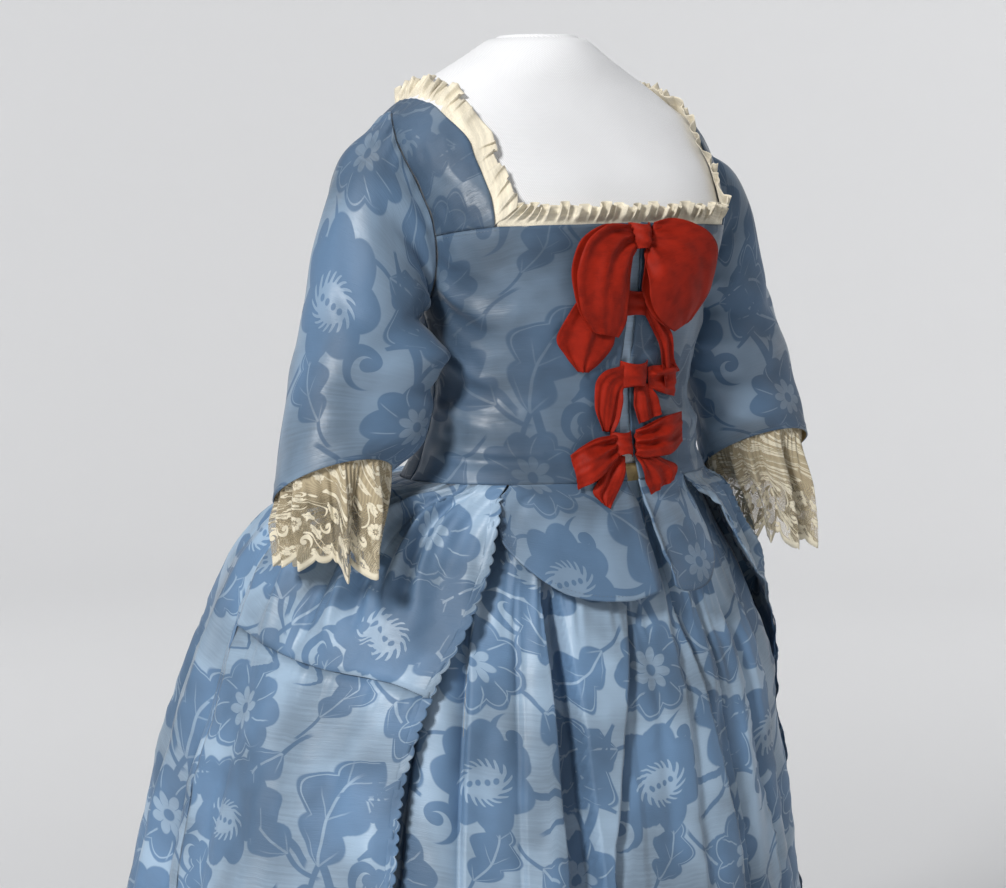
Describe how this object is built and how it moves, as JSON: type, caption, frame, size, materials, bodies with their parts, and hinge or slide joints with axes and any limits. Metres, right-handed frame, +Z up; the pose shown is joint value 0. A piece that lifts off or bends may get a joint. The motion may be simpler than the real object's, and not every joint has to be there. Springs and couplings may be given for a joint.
{
  "type": "robe a l'anglaise gown on a dress form",
  "caption": "Blue damask gown with closed bodice, elbow sleeves, open pleated overskirt, matching petticoat, lace cuffs and red bows, on a limbless dress form with a pole stand.",
  "frame": {"origin": "on the floor, at the underside of the stand's base, below the middle of the waist", "axes": "+Z up; the gown's front faces -Y; +X is the wearer's left"},
  "size_m": [0.9468, 0.8843, 1.4528],
  "materials": {
    "damask": "blue silk damask, soft sheen",
    "pale_silk": "pale blue silk",
    "lace": "cream lace",
    "ruffle": "cream pleated gauze",
    "red_silk": "red silk ribbon, satin",
    "knit": "white fine knit, matte",
    "steel": "satin steel"
  },
  "bodies": {
    "root": {"bodice_front_right": "damask", "bodice_front_left": "damask", "strap_right": "damask", "strap_left": "damask", "back_side_right": "damask", "back_side_left": "damask", "back_centre_right": "damask", "back_centre_left": "damask", "sleeve_right": "damask", "sleeve_left": "damask", "petticoat_front": "damask", "petticoat_left": "damask", "petticoat_back": "damask", "petticoat_right": "damask", "overskirt_right_upper": "damask", "overskirt_right_lower": "damask", "overskirt_right_back": "damask", "overskirt_left_front": "damask", "overskirt_left_back": "damask", "stomacher_strip": "pale_silk", "lace_flounce_right": "lace", "lace_flounce_left": "lace", "neck_ruffle_front": "ruffle", "neck_ruffle_right": "ruffle", "neck_ruffle_left": "ruffle", "neck_ruffle_back": "ruffle", "bow_1_knot": "red_silk", "bow_1_loop_right": "red_silk", "bow_1_loop_left": "red_silk", "bow_1_tail": "red_silk", "bow_2_knot": "red_silk", "bow_2_tail": "red_silk", "bow_3_knot": "red_silk", "bow_3_tail_right": "red_silk", "bow_3_tail_left": "red_silk", "bow_3_loop_left": "red_silk", "bow_4_knot": "red_silk", "bow_4_loop_right": "red_silk", "bow_4_loop_left": "red_silk", "bow_4_tail_right": "red_silk", "bow_4_tail_left": "red_silk", "form_torso": "knit", "stand_collar": "steel", "stand_pole": "steel", "stand_base": "steel"}
  },
  "joints": []
}
